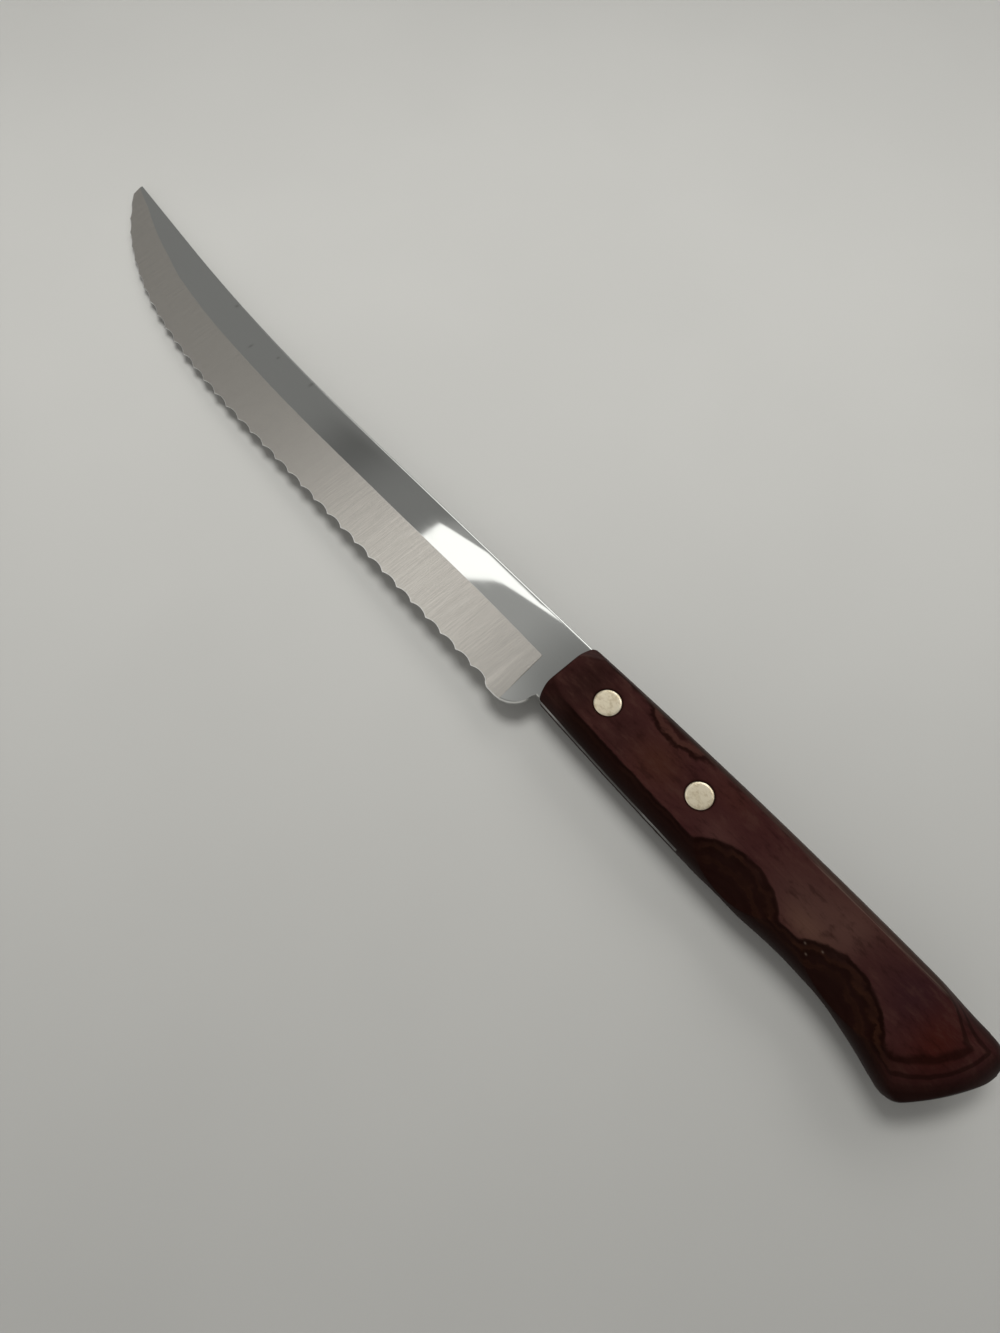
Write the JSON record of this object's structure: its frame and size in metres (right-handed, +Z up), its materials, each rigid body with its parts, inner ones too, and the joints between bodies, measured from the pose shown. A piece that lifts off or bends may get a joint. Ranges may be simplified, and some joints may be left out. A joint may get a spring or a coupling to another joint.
{
  "type": "serrated kitchen utility knife",
  "caption": "Kitchen knife with an upswept serrated blade, a half tang and a one-piece laminated wood handle with finger scallops and flush cutler's rivets.",
  "frame": {"origin": "on the handle's lower flat face, midway between the two rivets", "axes": "+X along the knife to the tip, +Y to the cutting edge, +Z up out of the upper flat face"},
  "size_m": [0.3219, 0.0288, 0.015],
  "materials": {
    "steel": "polished cheek, satin ground bevel",
    "laminate": "dyed resin-laminated wood, semi-gloss",
    "nickel_silver": "ground flush, lightly scratched"
  },
  "bodies": {
    "root": {"blade": "steel", "handle": "laminate", "rivet_front_tube": "nickel_silver", "rivet_front_pin": "nickel_silver", "rivet_rear_tube": "nickel_silver", "rivet_rear_pin": "nickel_silver"}
  },
  "joints": []
}
